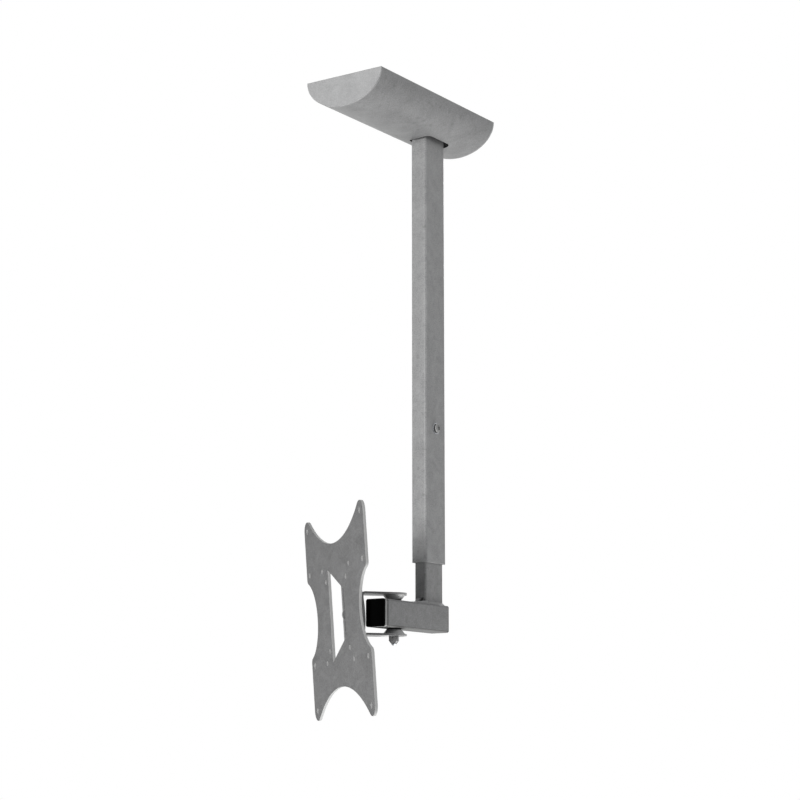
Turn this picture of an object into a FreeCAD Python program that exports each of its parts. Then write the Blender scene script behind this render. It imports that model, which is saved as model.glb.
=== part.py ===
"""Ceiling mount for a flat screen: telescoping column, swivelling fork and tilting plate.

Frame: millimetres, +Z up, origin on the column axis in the ceiling plane, -Y towards the
viewing side. The cover's long axis and the arm run along Y. The fork and the plate are
written in a frame of their own (origin on the swivel axis, -Y towards the screen) and
turned into the rest pose at the end.
"""
import FreeCAD, Part
import math
import os

V = FreeCAD.Vector
X_AXIS = V(1, 0, 0)
Y_AXIS = V(0, 1, 0)
Z_AXIS = V(0, 0, 1)

# Column and telescoping tube
COLUMN_X = 20.0
COLUMN_Y = 40.0
COLUMN_WALL = 2.0
COLUMN_CORNER = 2.8
COLUMN_BOTTOM = -523.0
SLIDE_GAP = 0.5
INNER_WALL = 2.0
INNER_CORNER = 2.5
INNER_TOP = -112.0
INNER_FOOT = -569.0

# Guide plug on top of the telescoping tube
GUIDE_FLANGE = 4.0
GUIDE_GAP = 0.1
GUIDE_DEPTH = 16.0
GUIDE_CORNER = 0.8
PLUG_FIT = 0.05

# Small shares and tolerances used by several pieces
HEAD_RIM_SHARE = 0.18
WELD_TOE = 0.3
TUBE_INSIDE_CORNER = 0.4
RIVET_ROUND_SHARE = 0.7
NEAR = 1e-3

# Ceiling plate
SLOT_EDGE = 4.0
PLATE_FRONT = -142.0
PLATE_REAR = 56.0
PLATE_THICK = 4.0
PLATE_CORNER = 8.0
SLOT_SPACING_X = 56.0
SLOT_SPACING_Y = 162.0
SLOT_CENTRE_Y = -43.0
SLOT_RADIUS = 4.5
SLOT_LENGTH = 20.0
COLUMN_WELD_LEG = 4.0

# Lock screw in the column's side
LOCK_Z = -371.0
LOCK_SHANK_R = 3.0
LOCK_RUNNING_GAP = 0.05
LOCK_HEAD_R = 5.4
LOCK_HEAD_HIGH = 3.6
LOCK_SOCKET_AF = 4.0
LOCK_SOCKET_DEEP = 1.9
BUSH_BODY_R = 4.4
BUSH_FLANGE_R = 6.3
BUSH_FLANGE_THICK = 0.9
BUSH_SHORT = 0.1

# Cover under the ceiling
COVER_FRONT = -166.0
COVER_REAR = 65.5
COVER_HALF = 50.0
COVER_DEEP = 35.0
COVER_SHELL = 2.0
COVER_END_THICK = 2.0
COVER_HOLE_GAP = 4.2
COVER_HOLE_SHIFT = 2.2
COVER_CEILING_GAP = 0.5
COVER_ARCS = 8

# Spring clips that hold the cover
CLIP_WIDTH = 22.0
CLIP_THICK = 1.0
CLIP_BACK = 20.0
CLIP_DROP = 16.0
CLIP_BEND = 2.0
CLIP_RIVET_R = 2.0
CLIP_RIVET_HEAD_R = 3.6
CLIP_RIVET_HEAD = 1.3
CLIP_RIVET_STEP = 11.0
CLIP_REST_GAP = 0.05

# Horizontal arm
ARM_X = 25.0
ARM_Z = 30.0
ARM_WALL = 2.0
ARM_CORNER = 2.5
ARM_FRONT = -102.8
ARM_REAR = 20.5
ARM_PLUG_FLANGE = 1.7
ARM_PLUG_DEEP = 14.0
ARM_PLUG_CHAMFER = 1.1
ARM_PLUG_CORNER = 1.0
ARM_LIP = 4.0
ARM_GROOVE_WIDE = 1.2
ARM_GROOVE_DEEP = 0.5
FOOT_WELD_LEG = 3.0
WELD_GAP_START = 1.2
WELD_GAP_WIDE = 4.0
GUSSET_LONG = 24.0
GUSSET_HIGH = 3.6
GUSSET_HALF = 10.0

# Swivel joint
PIVOT_FROM_FRONT = 36.0
SWIVEL_BOLT_R = 3.0
SWIVEL_RUNNING_GAP = 0.05
SWIVEL_SLEEVE_R = 6.0
SLEEVE_END_GAP = 0.05
PAD_R = 8.0
PAD_THICK = 1.0
PAD_REST_GAP = 0.05

# Swivel fork of folded sheet with pressed conical dimples
FORK_SHEET = 2.2
FORK_HALF_WIDE = 14.0
FORK_WEB_BACK = 38.7
FORK_BEND_IN = 2.0
DIMPLE_DEEP = 5.0
DIMPLE_FLOOR = 2.0
DIMPLE_MOUTH_R = 12.2
DIMPLE_FOOT_R = 8.2
DIMPLE_WALL = 2.0
DIMPLE_EDGE = 0.6
EAR_SHEET = 2.2
EAR_HALF_HIGH = 8.0
EAR_BEND = 1.0

# Swivel bolt with nut and washers
BOLT_HEAD_R = 5.7
BOLT_HEAD_HIGH = 3.6
BOLT_SOCKET_AF = 4.0
BOLT_SOCKET_DEEP = 2.1
NUT_AF = 10.0
NUT_HEX_HIGH = 7.0
NUT_COLLAR_HIGH = 1.8
NUT_COLLAR_R = 4.8
NUT_COLLAR_TIP_R = 3.7
WASHER_R = 6.0
WASHER_THICK = 1.6
SPRING_R = 5.6
SPRING_THICK = 2.2
SPRING_CUT = 1.6
BOLT_TIP = 2.5
BOLT_TIP_CHAMFER = 1.4
NUT_CORNER_SHARE = 0.7

# Tilt joint
TILT_AXIS = 46.4
TILT_BOLT_R = 3.0
TILT_RUNNING_GAP = 0.05
TILT_HEAD_R = 5.2
TILT_NUT_AF = 10.0
TILT_NUT_HIGH = 3.2
TILT_TIP = 0.3
TILT_SLEEVE_R = 4.2
TILT_WASHER_R = 5.8
TILT_WASHER_THICK = 0.95
TILT_RING_R = 6.0
TILT_SOCKET_AF = 4.0
TILT_SOCKET_SHARE = 0.8

# Mounting plate, butterfly outline
FACE_FRONT = 63.4
FACE_THICK = 3.0
HORN_EDGE = 12.0
FACE_ARC_R = 155.0
FACE_ARC_LOW = 77.0
HORN_R = 11.5
WAIST_HALF = 79.0
WAIST_START = 42.5
SHOULDER_R = 6.0
WINDOW_HALF = 28.0
WINDOW_TALL = 50.0
WINDOW_SHORT = 24.5
WINDOW_CORNER = 1.0
FACE_EDGE = 0.5
VESA_LARGE_R = 3.0
VESA_SMALL_R = 2.5
VESA_OUTER = 100.0
VESA_MIDDLE = 50.0
VESA_INNER = 37.5

# Tilt bracket behind the plate
CHEEK_IN = 15.0
CHEEK_SHEET = 3.0
PAD_NEAR = 48.0
PAD_FAR = 66.0
CHEEK_WINDOW_HALF = 44.0
CHEEK_REAR = 38.0
CHEEK_CORNER = 3.0
CHEEK_ROUND = 3.0
BRACKET_WELD_LEG = 2.5
BRACKET_WELD_END = 1.5
PAD_BEND_SHARE = 0.7

# Rest pose of the moving pieces
SWIVEL_REST = -37.5
TILT_REST = 4.0

VESA_LARGE = ((VESA_OUTER, VESA_OUTER), (VESA_OUTER, VESA_MIDDLE))
VESA_SMALL = ((VESA_MIDDLE, VESA_MIDDLE), (VESA_INNER, VESA_INNER))
FACE_HALF = VESA_OUTER + HORN_EDGE
TILT_DEPTH = FACE_FRONT - TILT_AXIS
CHEEK_WINDOW = TILT_DEPTH - TILT_RING_R
PLATE_WIDTH = SLOT_SPACING_X + SLOT_LENGTH + 2 * SLOT_EDGE
PIVOT_Y = ARM_FRONT - ARM_PLUG_FLANGE + PIVOT_FROM_FRONT
ARM_MID_Z = INNER_FOOT - ARM_Z / 2
INNER_X = COLUMN_X - 2 * COLUMN_WALL - 2 * SLIDE_GAP
INNER_Y = COLUMN_Y - 2 * COLUMN_WALL - 2 * SLIDE_GAP
FLOOR_IN = ARM_Z / 2 + PAD_THICK + PAD_REST_GAP
FLAP_IN = FLOOR_IN + DIMPLE_DEEP
FLAP_OUT = FLAP_IN + FORK_SHEET
FLOOR_OUT = FLOOR_IN + DIMPLE_FLOOR

SHAPES = {}


def box(x0, x1, y0, y1, z0, z1):
    """Box between two opposite corners given per axis."""
    return Part.makeBox(x1 - x0, y1 - y0, z1 - z0, V(x0, y0, z0))


def cylinder(radius, start, end):
    """Cylinder between two points."""
    axis = end.sub(start)
    return Part.makeCylinder(radius, axis.Length, start, axis)


def rounded_rectangle(half_a, half_b, corner):
    """Closed wire in the XY plane, centred on the origin, with round corners."""
    a, b, r = half_a, half_b, corner
    cut = r * (1 - math.sqrt(0.5))
    edges = []
    for sa, sb in ((1, 1), (-1, 1), (-1, -1), (1, -1)):
        first = V(sa * a, sb * (b - r), 0)
        last = V(sa * (a - r), sb * b, 0)
        if sa * sb < 0:
            first, last = last, first
        edges.append((first, V(sa * (a - cut), sb * (b - cut), 0), last))
    parts = []
    for index, (first, middle, last) in enumerate(edges):
        following = edges[(index + 1) % len(edges)][0]
        parts.append(Part.Arc(first, middle, last).toShape())
        parts.append(Part.makeLine(last, following))
    return Part.Wire(parts)


def rounded_bar(size_a, size_b, corner, length):
    """Upright bar with a round-cornered rectangular section, standing on z = 0."""
    face = Part.Face(rounded_rectangle(size_a / 2, size_b / 2, corner))
    return face.extrude(V(0, 0, length))


def rounded_tube(size_a, size_b, wall, corner, length):
    """Upright rectangular tube with round corners inside and outside."""
    inside = rounded_bar(size_a - 2 * wall, size_b - 2 * wall, max(corner - wall, TUBE_INSIDE_CORNER), length)
    return rounded_bar(size_a, size_b, corner, length).cut(inside)


def lying(shape):
    """Turn an upright shape so that its height runs along +Y and its second side along Z."""
    turned = shape.copy()
    turned.rotate(V(0, 0, 0), X_AXIS, -90)
    return turned


def moved(shape, x, y, z):
    """Copy of a shape, shifted."""
    copy = shape.copy()
    copy.translate(V(x, y, z))
    return copy


def mirrored(shape, normal):
    """Copy of a shape, mirrored in a plane through the origin."""
    return shape.mirror(V(0, 0, 0), normal)


def slot_cutter(x, y, radius, length, z0, z1):
    """Cutter for a slotted hole that runs along X."""
    reach = length / 2 - radius
    cutter = box(x - reach, x + reach, y - radius, y + radius, z0, z1)
    for side in (-1, 1):
        centre = V(x + side * reach, y, z0)
        cutter = cutter.fuse(cylinder(radius, centre, V(x + side * reach, y, z1)))
    return cutter


def hexagon(across_flats, start, height):
    """Hexagonal prism standing on a point, along +Z."""
    corner = across_flats / math.sqrt(3)
    points = [start + V(corner * math.cos(math.radians(60 * k + 30)),
                        corner * math.sin(math.radians(60 * k + 30)), 0) for k in range(6)]
    face = Part.Face(Part.makePolygon(points + [points[0]]))
    return face.extrude(V(0, 0, height))


def round_profile(points):
    """Solid of revolution about Z from radius and height pairs."""
    outline = [V(r, 0, z) for r, z in points]
    face = Part.Face(Part.makePolygon(outline + [outline[0]]))
    return face.revolve(V(0, 0, 0), Z_AXIS, 360)


def ring(outer, inner, z0, z1):
    """Flat ring about Z."""
    return cylinder(outer, V(0, 0, z0), V(0, 0, z1)).cut(cylinder(inner, V(0, 0, z0), V(0, 0, z1)))


def domed_head(radius, height, socket_af, socket_deep):
    """Domed screw head with a hexagon socket, seated on z = 0."""
    rim = HEAD_RIM_SHARE * height
    sphere_r = (radius ** 2 + (height - rim) ** 2) / (2 * (height - rim))
    dome = Part.makeSphere(sphere_r, V(0, 0, height - sphere_r))
    head = cylinder(radius, V(0, 0, 0), V(0, 0, height)).common(dome)
    return head.cut(hexagon(socket_af, V(0, 0, height - socket_deep), socket_deep + 1))


def skirt(size_a, size_b, corner, leg, height_sign):
    """Weld bead with a sloping face round a rectangular tube, rooted on z = 0."""
    wide = rounded_rectangle(size_a / 2 + leg, size_b / 2 + leg, corner + leg)
    tight = rounded_rectangle(size_a / 2 + WELD_TOE, size_b / 2 + WELD_TOE, corner + WELD_TOE)
    tight.translate(V(0, 0, height_sign * leg))
    bead = Part.makeLoft([wide, tight], True)
    hole = rounded_bar(size_a, size_b, corner, 2 * leg)
    hole.translate(V(0, 0, -2 * leg if height_sign < 0 else 0))
    return bead.cut(hole)


def head_pose(shape):
    """Tilt and swivel a shape of the screen plate's body into the rest pose."""
    turned = shape.copy()
    turned.rotate(V(0, -TILT_AXIS, 0), X_AXIS, TILT_REST)
    return fork_pose(turned)


def fork_pose(shape):
    """Swivel a shape of the fork's body into the rest pose."""
    turned = shape.copy()
    turned.rotate(V(0, 0, 0), Z_AXIS, SWIVEL_REST)
    turned.translate(V(0, PIVOT_Y, ARM_MID_Z))
    return turned


def make_ceiling_plate():
    """Flat steel plate with four slotted holes for the ceiling screws."""
    middle_y = (PLATE_FRONT + PLATE_REAR) / 2
    plate = rounded_bar(PLATE_WIDTH, PLATE_REAR - PLATE_FRONT, PLATE_CORNER, PLATE_THICK)
    plate.translate(V(0, middle_y, -PLATE_THICK))
    for side_x in (-1, 1):
        for side_y in (-1, 1):
            x = side_x * SLOT_SPACING_X / 2
            y = SLOT_CENTRE_Y + side_y * SLOT_SPACING_Y / 2
            plate = plate.cut(slot_cutter(x, y, SLOT_RADIUS, SLOT_LENGTH, -2 * PLATE_THICK, 1))
    for y in rivet_rows():
        for x in (-CLIP_RIVET_STEP / 2, CLIP_RIVET_STEP / 2):
            plate = plate.cut(cylinder(CLIP_RIVET_R, V(x, y, -2 * PLATE_THICK), V(x, y, 1)))
    return plate


def rivet_rows():
    """Y positions of the clip rivets, front and rear."""
    return (PLATE_FRONT + CLIP_BACK / 2, PLATE_REAR - CLIP_BACK / 2)


def make_clip(sign, plate_edge, cover_inside):
    """Sprung strip under the ceiling plate, turned down against the cover's end wall."""
    start = plate_edge - sign * CLIP_BACK
    stop = cover_inside - sign * CLIP_REST_GAP
    top = -PLATE_THICK
    strip = box(-CLIP_WIDTH / 2, CLIP_WIDTH / 2, min(start, stop), max(start, stop), top - CLIP_DROP, top)
    inner_stop = stop - sign * CLIP_THICK
    hollow = box(-CLIP_WIDTH, CLIP_WIDTH, min(start - sign, inner_stop), max(start - sign, inner_stop),
                 top - CLIP_DROP - 1, top - CLIP_THICK)
    strip = strip.cut(hollow)
    outer = [e for e in strip.Edges if edge_at(e, stop, top)]
    strip = strip.makeFillet(CLIP_BEND + CLIP_THICK, outer)
    inner = [e for e in strip.Edges if edge_at(e, inner_stop, top - CLIP_THICK)]
    strip = strip.makeFillet(CLIP_BEND, inner)
    y = plate_edge - sign * CLIP_BACK / 2
    for x in (-CLIP_RIVET_STEP / 2, CLIP_RIVET_STEP / 2):
        strip = strip.cut(cylinder(CLIP_RIVET_R, V(x, y, top - 2 * CLIP_THICK), V(x, y, top + 1)))
    return strip


def edge_at(edge, y, z):
    """True for a straight edge along X at the given y and z."""
    box_of = edge.BoundBox
    return (box_of.YLength < NEAR and box_of.ZLength < NEAR
            and abs(box_of.YMin - y) < NEAR and abs(box_of.ZMin - z) < NEAR)


def make_clip_rivets():
    """Rivets that hold the two clips; each has a flush top and a round head below."""
    rivets = []
    under = -PLATE_THICK - CLIP_THICK
    for y in rivet_rows():
        for x in (-CLIP_RIVET_STEP / 2, CLIP_RIVET_STEP / 2):
            shank = cylinder(CLIP_RIVET_R, V(x, y, under), V(x, y, 0))
            head = cylinder(CLIP_RIVET_HEAD_R, V(x, y, under - CLIP_RIVET_HEAD), V(x, y, under))
            rim = [e for e in head.Edges if abs(e.BoundBox.ZMin - (under - CLIP_RIVET_HEAD)) < NEAR
                   and e.BoundBox.ZLength < NEAR]
            head = head.makeFillet(CLIP_RIVET_HEAD * RIVET_ROUND_SHARE, rim)
            rivets.append(shank.fuse(head).removeSplitter())
    return Part.makeCompound(rivets)


def make_column_tube():
    """Outer tube of the column, drilled for the threaded bush."""
    tube = rounded_tube(COLUMN_X, COLUMN_Y, COLUMN_WALL, COLUMN_CORNER, -PLATE_THICK - COLUMN_BOTTOM)
    tube.translate(V(0, 0, COLUMN_BOTTOM))
    return tube.cut(cylinder(BUSH_BODY_R, V(0, 0, LOCK_Z), V(COLUMN_X, 0, LOCK_Z)))


def side_pose(shape):
    """Turn a shape made along +Z so that it points along +X at the lock screw."""
    turned = shape.copy()
    turned.rotate(V(0, 0, 0), Y_AXIS, 90)
    turned.translate(V(COLUMN_X / 2, 0, LOCK_Z))
    return turned


def make_lock_bush():
    """Flanged threaded bush pressed into the column's wall."""
    body = ring(BUSH_BODY_R, LOCK_SHANK_R + LOCK_RUNNING_GAP, -COLUMN_WALL + BUSH_SHORT, 0)
    flange = ring(BUSH_FLANGE_R, LOCK_SHANK_R + LOCK_RUNNING_GAP, 0, BUSH_FLANGE_THICK)
    return side_pose(body.fuse(flange).removeSplitter())


def make_lock_screw():
    """Domed screw whose tip presses on the telescoping tube."""
    head = moved(domed_head(LOCK_HEAD_R, LOCK_HEAD_HIGH, LOCK_SOCKET_AF, LOCK_SOCKET_DEEP),
                 0, 0, BUSH_FLANGE_THICK)
    tip = -COLUMN_WALL - SLIDE_GAP + LOCK_RUNNING_GAP
    shank = cylinder(LOCK_SHANK_R, V(0, 0, tip), V(0, 0, BUSH_FLANGE_THICK))
    return side_pose(head.fuse(shank).removeSplitter())


def ellipse_point(half_width, depth, y, share):
    """Point of the lower half-ellipse, from its left end at share 0 to its right end at share 1."""
    angle = math.pi * (1 + share)
    return V(half_width * math.cos(angle), y, depth * math.sin(angle))


def half_ellipse(half_width, depth, y):
    """Face of the lower half of an ellipse, drawn as a run of arcs in a plane of constant y."""
    edges = []
    for index in range(COVER_ARCS):
        shares = [(index + step) / COVER_ARCS for step in (0, 0.5, 1)]
        edges.append(Part.Arc(*[ellipse_point(half_width, depth, y, share) for share in shares]).toShape())
    edges.append(Part.makeLine(V(half_width, y, 0), V(-half_width, y, 0)))
    return Part.Face(Part.Wire(edges))


def trough(half_width, depth, y0, y1):
    """Half-elliptical bar along Y, flat on top."""
    return half_ellipse(half_width, depth, y0).extrude(V(0, y1 - y0, 0))


def make_cover_shell():
    """Curved skin of the cover with the opening for the column."""
    outer = trough(COVER_HALF, COVER_DEEP, COVER_FRONT + COVER_END_THICK, COVER_REAR - COVER_END_THICK)
    inner = trough(COVER_HALF - COVER_SHELL, COVER_DEEP - COVER_SHELL, COVER_FRONT, COVER_REAR)
    opening = rounded_bar(COLUMN_X + 2 * COVER_HOLE_GAP, COLUMN_Y + 2 * COVER_HOLE_GAP,
                          COLUMN_CORNER + COVER_HOLE_GAP, 2 * COVER_DEEP)
    opening.translate(V(COVER_HOLE_SHIFT, 0, -2 * COVER_DEEP))
    shell = outer.cut(inner).cut(opening)
    return moved(shell, 0, 0, -COVER_CEILING_GAP)


def make_cover_end(y0, y1):
    """Flat end wall that closes the cover's skin flush with its outside."""
    return moved(trough(COVER_HALF, COVER_DEEP, y0, y1), 0, 0, -COVER_CEILING_GAP)


def make_inner_tube():
    """Telescoping tube that stands on the arm."""
    tube = rounded_tube(INNER_X, INNER_Y, INNER_WALL, INNER_CORNER, INNER_TOP - INNER_FOOT)
    return moved(tube, 0, 0, INNER_FOOT)


def make_inner_guide():
    """Plastic plug that guides the telescoping tube's top inside the column."""
    inside_x = COLUMN_X - 2 * COLUMN_WALL - 2 * GUIDE_GAP
    inside_y = COLUMN_Y - 2 * COLUMN_WALL - 2 * GUIDE_GAP
    flange = rounded_bar(inside_x, inside_y, INNER_CORNER, GUIDE_FLANGE)
    body = rounded_bar(INNER_X - 2 * INNER_WALL - 2 * PLUG_FIT, INNER_Y - 2 * INNER_WALL - 2 * PLUG_FIT,
                       GUIDE_CORNER, GUIDE_DEPTH)
    plug = flange.fuse(moved(body, 0, 0, -GUIDE_DEPTH)).removeSplitter()
    return moved(plug, 0, 0, INNER_TOP)


def make_column_weld():
    """Weld bead between the column and the ceiling plate."""
    bead = skirt(COLUMN_X, COLUMN_Y, COLUMN_CORNER, COLUMN_WELD_LEG, -1)
    return moved(bead, 0, 0, -PLATE_THICK)


def wedge(profile, x0, x1):
    """Prism along X over a triangle of (y, z) points."""
    points = [V(x0, y, z) for y, z in profile]
    return Part.Face(Part.makePolygon(points + [points[0]])).extrude(V(x1 - x0, 0, 0))


def make_foot_weld():
    """Weld bead round the tube's foot, a low gusset in front of it and the broken bead on top."""
    face = -INNER_Y / 2
    bead = skirt(INNER_X, INNER_Y, INNER_CORNER, FOOT_WELD_LEG, 1)
    gusset = wedge([(face, 0), (face - GUSSET_LONG, 0), (face, GUSSET_HIGH)], -GUSSET_HALF, GUSSET_HALF)
    toe = GUSSET_HIGH * (1 - FOOT_WELD_LEG / GUSSET_LONG)
    profile = [(face, GUSSET_HIGH), (face - FOOT_WELD_LEG, toe), (face, GUSSET_HIGH + FOOT_WELD_LEG)]
    flat = INNER_X / 2 - INNER_CORNER
    first = wedge(profile, -flat, WELD_GAP_START)
    second = wedge(profile, WELD_GAP_START + WELD_GAP_WIDE, flat)
    return moved(bead.fuse(gusset).fuse(first).fuse(second).removeSplitter(), 0, 0, INNER_FOOT)


def make_arm_tube():
    """Horizontal tube with the swivel holes and a shallow groove behind its front lip."""
    tube = lying(rounded_tube(ARM_X, ARM_Z, ARM_WALL, ARM_CORNER, ARM_REAR - ARM_FRONT))
    tube.translate(V(0, ARM_FRONT, ARM_MID_Z))
    reach = ARM_Z
    hole = cylinder(SWIVEL_BOLT_R + SWIVEL_RUNNING_GAP, V(0, PIVOT_Y, ARM_MID_Z - reach),
                    V(0, PIVOT_Y, ARM_MID_Z + reach))
    groove = lying(rounded_tube(ARM_X + 2, ARM_Z + 2, 1 + ARM_GROOVE_DEEP, ARM_CORNER + 1, ARM_GROOVE_WIDE))
    groove.translate(V(0, ARM_FRONT + ARM_LIP, ARM_MID_Z))
    return tube.cut(hole).cut(groove)


def make_arm_plug(sign, y):
    """Plastic plug in an end of the arm: flange with a chamfered rim and a hollow body."""
    flange = rounded_bar(ARM_X, ARM_Z, ARM_CORNER, ARM_PLUG_FLANGE)
    rim = [e for e in flange.Edges if e.BoundBox.ZLength < NEAR
           and abs(e.BoundBox.ZMin - ARM_PLUG_FLANGE) < NEAR]
    flange = flange.makeChamfer(ARM_PLUG_CHAMFER, rim)
    body = rounded_tube(ARM_X - 2 * ARM_WALL - 2 * PLUG_FIT, ARM_Z - 2 * ARM_WALL - 2 * PLUG_FIT,
                        ARM_WALL, ARM_PLUG_CORNER, ARM_PLUG_DEEP)
    plug = lying(flange.fuse(moved(body, 0, 0, -ARM_PLUG_DEEP)).removeSplitter())
    if sign < 0:
        plug = mirrored(plug, Y_AXIS)
    return moved(plug, 0, y, ARM_MID_Z)


def make_swivel_sleeve():
    """Sleeve inside the arm that keeps its walls from being squeezed."""
    high = ARM_Z / 2 - ARM_WALL - SLEEVE_END_GAP
    return moved(ring(SWIVEL_SLEEVE_R, SWIVEL_BOLT_R + SWIVEL_RUNNING_GAP, -high, high),
                 0, PIVOT_Y, ARM_MID_Z)


def dimple(floor_in):
    """Conical dimple of the upper flap as an outer solid and the hollow that is pressed into it."""
    mouth = DIMPLE_MOUTH_R
    foot = DIMPLE_FOOT_R
    solid = round_profile([(0, floor_in), (foot, floor_in), (mouth, FLAP_IN),
                           (mouth, FLAP_OUT), (0, FLAP_OUT)])
    inner_foot = foot - DIMPLE_WALL
    inner_mouth = mouth - DIMPLE_WALL + (FLAP_OUT - FLAP_IN) * (mouth - foot) / (FLAP_IN - floor_in)
    hollow = round_profile([(0, FLOOR_OUT), (inner_foot, FLOOR_OUT), (inner_mouth, FLAP_OUT),
                            (inner_mouth, FLAP_OUT + 1), (0, FLAP_OUT + 1)])
    return solid, hollow


def make_fork():
    """Folded fork: web, two flaps with pressed dimples, and two ears for the tilt bolt."""
    web_front = FORK_WEB_BACK + FORK_SHEET
    outer = box(-FORK_HALF_WIDE, FORK_HALF_WIDE, -web_front, FORK_HALF_WIDE, -FLAP_OUT, FLAP_OUT)
    corners = [e for e in outer.Edges if e.BoundBox.XLength > 1 and e.BoundBox.YLength < NEAR
               and abs(e.BoundBox.YMin + web_front) < NEAR]
    outer = outer.makeFillet(FORK_BEND_IN + FORK_SHEET, corners)
    inner = box(-2 * FORK_HALF_WIDE, 2 * FORK_HALF_WIDE, -FORK_WEB_BACK, 2 * FORK_HALF_WIDE,
                -FLAP_IN, FLAP_IN)
    corners = [e for e in inner.Edges if e.BoundBox.XLength > 1 and e.BoundBox.YLength < NEAR
               and abs(e.BoundBox.YMin + FORK_WEB_BACK) < NEAR]
    inner = inner.makeFillet(FORK_BEND_IN, corners)
    fork = outer.cut(inner)
    plan = box(-FORK_HALF_WIDE, FORK_HALF_WIDE, -web_front - 1, 0, -2 * FLAP_OUT, 2 * FLAP_OUT)
    round_end = cylinder(FORK_HALF_WIDE, V(0, 0, -2 * FLAP_OUT), V(0, 0, 2 * FLAP_OUT))
    fork = fork.common(plan.fuse(round_end))
    solid, hollow = dimple(FLOOR_IN)
    for upper in (True, False):
        shape, cut = (solid, hollow) if upper else (mirrored(solid, Z_AXIS), mirrored(hollow, Z_AXIS))
        fork = fork.fuse(shape).cut(cut)
    fork = fork.removeSplitter()
    rims = [e for e in fork.Edges if is_dimple_rim(e)]
    fork = fork.makeFillet(DIMPLE_EDGE, rims)
    fork = fork.cut(cylinder(SWIVEL_BOLT_R + SWIVEL_RUNNING_GAP,
                             V(0, 0, -2 * FLAP_OUT), V(0, 0, 2 * FLAP_OUT)))
    for side in (-1, 1):
        fork = fork.fuse(make_ear(side, web_front))
    bore = cylinder(TILT_BOLT_R + TILT_RUNNING_GAP, V(-2 * FORK_HALF_WIDE, -TILT_AXIS, 0),
                    V(2 * FORK_HALF_WIDE, -TILT_AXIS, 0))
    return fork_pose(fork.cut(bore).removeSplitter())


def is_dimple_rim(edge):
    """True for the circles at the mouth and at the foot of a dimple's outer cone."""
    bounds = edge.BoundBox
    flat = bounds.ZLength < NEAR
    wide = abs(bounds.XLength - bounds.YLength) < 1e-2
    radius = bounds.XLength / 2
    return flat and wide and min(abs(radius - DIMPLE_MOUTH_R), abs(radius - DIMPLE_FOOT_R)) < 1e-2


def make_ear(side, web_front):
    """Ear of the fork: a strip turned forwards from the web's side, round about the tilt axis."""
    inner = FORK_HALF_WIDE - EAR_SHEET
    low, high = (inner, FORK_HALF_WIDE) if side > 0 else (-FORK_HALF_WIDE, -inner)
    strip = box(low, high, -TILT_AXIS, -FORK_WEB_BACK - FORK_SHEET / 2, -EAR_HALF_HIGH, EAR_HALF_HIGH)
    tip = cylinder(EAR_HALF_HIGH, V(low, -TILT_AXIS, 0), V(high, -TILT_AXIS, 0))
    heel = box(low - EAR_BEND, high + EAR_BEND, -web_front - EAR_BEND, -web_front,
               -EAR_HALF_HIGH, EAR_HALF_HIGH)
    roll = cylinder(EAR_BEND, V(side * (inner - EAR_BEND), -web_front - EAR_BEND, -EAR_HALF_HIGH),
                    V(side * (inner - EAR_BEND), -web_front - EAR_BEND, EAR_HALF_HIGH))
    reach = box(-FORK_HALF_WIDE, FORK_HALF_WIDE, -2 * TILT_AXIS, 0, -EAR_HALF_HIGH, EAR_HALF_HIGH)
    return strip.fuse(tip).fuse(heel.cut(roll).common(reach))


def make_swivel_bolt():
    """Bolt through the fork and the arm, its round head down in the upper dimple."""
    head = moved(domed_head(BOLT_HEAD_R, BOLT_HEAD_HIGH, BOLT_SOCKET_AF, BOLT_SOCKET_DEEP), 0, 0, FLOOR_OUT)
    end = -(FLOOR_OUT + WASHER_THICK + SPRING_THICK + NUT_HEX_HIGH + NUT_COLLAR_HIGH + BOLT_TIP)
    shank = cylinder(SWIVEL_BOLT_R, V(0, 0, end), V(0, 0, FLOOR_OUT))
    tip = [e for e in shank.Edges if abs(e.BoundBox.ZMax - end) < NEAR]
    shank = shank.makeChamfer(BOLT_TIP_CHAMFER, tip)
    return fork_pose(head.fuse(shank).removeSplitter())


def make_swivel_washer():
    """Plain washer in the lower dimple."""
    return fork_pose(ring(WASHER_R, SWIVEL_BOLT_R, -FLOOR_OUT - WASHER_THICK, -FLOOR_OUT))


def make_spring_washer():
    """Split spring washer between the plain washer and the nut."""
    top = -FLOOR_OUT - WASHER_THICK
    washer = ring(SPRING_R, SWIVEL_BOLT_R, top - SPRING_THICK, top)
    split = box(0, 2 * SPRING_R, -SPRING_CUT / 2, SPRING_CUT / 2, top - 2 * SPRING_THICK, top + 1)
    return fork_pose(washer.cut(split))


def make_swivel_nut():
    """Hexagon nut with chamfered corners and a tapered locking collar."""
    top = -FLOOR_OUT - WASHER_THICK - SPRING_THICK
    corner = NUT_AF / math.sqrt(3)
    blank = hexagon(NUT_AF, V(0, 0, top - NUT_HEX_HIGH), NUT_HEX_HIGH)
    drop = NUT_CORNER_SHARE * (corner - NUT_AF / 2)
    form = round_profile([(0, top), (NUT_AF / 2, top), (corner, top - drop),
                          (corner, top - NUT_HEX_HIGH + drop),
                          (NUT_AF / 2, top - NUT_HEX_HIGH), (0, top - NUT_HEX_HIGH)])
    collar = Part.makeCone(NUT_COLLAR_TIP_R, NUT_COLLAR_R, NUT_COLLAR_HIGH,
                           V(0, 0, top - NUT_HEX_HIGH - NUT_COLLAR_HIGH), Z_AXIS)
    nut = blank.common(form).fuse(collar)
    nut = nut.cut(cylinder(SWIVEL_BOLT_R, V(0, 0, top - 2 * NUT_AF), V(0, 0, top + 1)))
    return fork_pose(nut.removeSplitter())


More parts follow.
